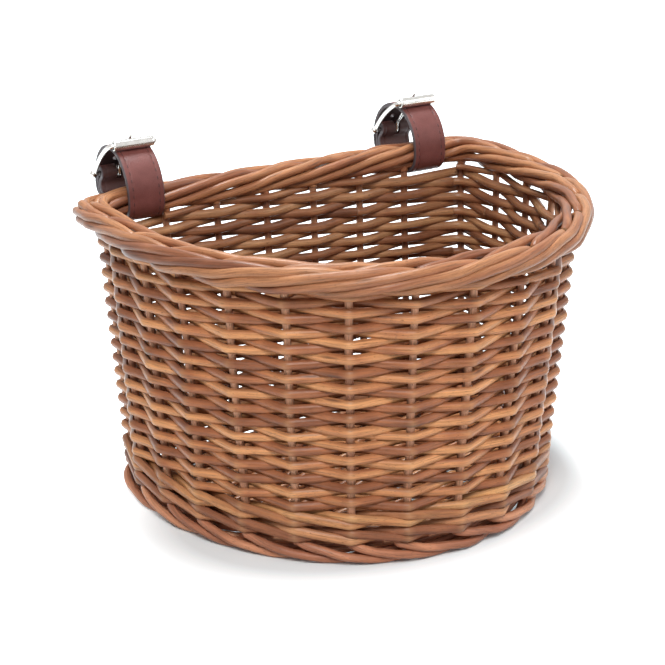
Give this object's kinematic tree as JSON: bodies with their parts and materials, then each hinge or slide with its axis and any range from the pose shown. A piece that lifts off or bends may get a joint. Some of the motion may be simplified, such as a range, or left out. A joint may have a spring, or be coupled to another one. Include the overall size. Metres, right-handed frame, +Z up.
{
  "type": "bicycle basket",
  "caption": "D-shaped woven willow basket with a flat back, a twisted top border and two buckled leather straps that loop round a handlebar.",
  "frame": {"origin": "on the ground, under the middle of the whole basket's bounding box", "axes": "+X along the handlebar and the flat back, +Y towards the bicycle (the flat back), +Z up"},
  "size_m": [0.2496, 0.2302, 0.186],
  "materials": {
    "willow": "steamed golden brown willow, thin satin varnish",
    "willow_stake": "steamed brown willow, thin satin varnish",
    "willow_pale": "paler yellow-brown willow, thin satin varnish",
    "leather": "red-brown leather, sewn along both edges",
    "nickel": "polished nickel plate"
  },
  "bodies": {
    "basket": {"top_border_1": "willow", "top_border_2": "willow", "top_border_3": "willow", "top_border_4": "willow", "foot_border_1": "willow_pale", "foot_border_2": "willow_pale", "foot_border_3": "willow_pale", "foot_border_4": "willow_pale", "stake_1": "willow_stake", "stake_2": "willow_stake", "stake_3": "willow_stake", "stake_4": "willow_stake", "stake_5": "willow_stake", "stake_6": "willow_stake", "stake_7": "willow_stake", "stake_8": "willow_stake", "stake_9": "willow_stake", "stake_10": "willow_stake", "stake_11": "willow_stake", "stake_12": "willow_stake", "stake_13": "willow_stake", "stake_14": "willow_stake", "stake_15": "willow_stake", "stake_16": "willow_stake", "stake_17": "willow_stake", "stake_18": "willow_stake", "stake_19": "willow_stake", "stake_20": "willow_stake", "stake_21": "willow_stake", "stake_22": "willow_stake", "stake_23": "willow_stake", "bottom_wale_1": "willow_pale", "bottom_wale_2": "willow_pale", "siding_weaver_1": "willow", "siding_weaver_2": "willow", "siding_weaver_3": "willow", "siding_weaver_4": "willow", "siding_weaver_5": "willow", "siding_weaver_6": "willow", "top_row_front": "willow", "top_row_back": "willow", "base_weave": "willow", "base_stick_1": "willow_stake", "base_stick_2": "willow_stake", "base_stick_3": "willow_stake", "base_stick_4": "willow_stake", "base_stick_5": "willow_stake"},
    "strap_left": {"strap_left": "leather"},
    "buckle_frame_left": {"buckle_frame_left": "nickel"},
    "buckle_roller_left": {"buckle_roller_left": "nickel"},
    "buckle_prong_left": {"buckle_prong_left": "nickel"},
    "strap_right": {"strap_right": "leather"},
    "buckle_frame_right": {"buckle_frame_right": "nickel"},
    "buckle_roller_right": {"buckle_roller_right": "nickel"},
    "buckle_prong_right": {"buckle_prong_right": "nickel"}
  },
  "joints": [
    {"name": "strap_swing_left", "type": "hinge", "parent": "basket", "child": "strap_left", "pos_m": [-0.08599, 0.07999, 0.152], "axis": [1, 0, 0], "range_deg": [-12, 30]},
    {"name": "buckle_rock_left", "type": "hinge", "parent": "strap_left", "child": "buckle_frame_left", "pos_m": [-0.08599, 0.10753, 0.16008], "axis": [-1, 0, 0], "range_deg": [0, 4]},
    {"name": "prong_lift_left", "type": "hinge", "parent": "buckle_frame_left", "child": "buckle_prong_left", "pos_m": [-0.08599, 0.10753, 0.16008], "axis": [-1, 0, 0], "range_deg": [0, 6]},
    {"name": "roller_spin_left", "type": "hinge", "parent": "buckle_frame_left", "child": "buckle_roller_left", "pos_m": [-0.08599, 0.08332, 0.17987], "axis": [1, 0, 0], "continuous": true},
    {"name": "strap_swing_right", "type": "hinge", "parent": "basket", "child": "strap_right", "pos_m": [0.08611, 0.07999, 0.152], "axis": [1, 0, 0], "range_deg": [-12, 30]},
    {"name": "buckle_rock_right", "type": "hinge", "parent": "strap_right", "child": "buckle_frame_right", "pos_m": [0.08611, 0.10753, 0.16008], "axis": [-1, 0, 0], "range_deg": [0, 4]},
    {"name": "prong_lift_right", "type": "hinge", "parent": "buckle_frame_right", "child": "buckle_prong_right", "pos_m": [0.08611, 0.10753, 0.16008], "axis": [-1, 0, 0], "range_deg": [0, 6]},
    {"name": "roller_spin_right", "type": "hinge", "parent": "buckle_frame_right", "child": "buckle_roller_right", "pos_m": [0.08611, 0.08332, 0.17987], "axis": [1, 0, 0], "continuous": true}
  ]
}
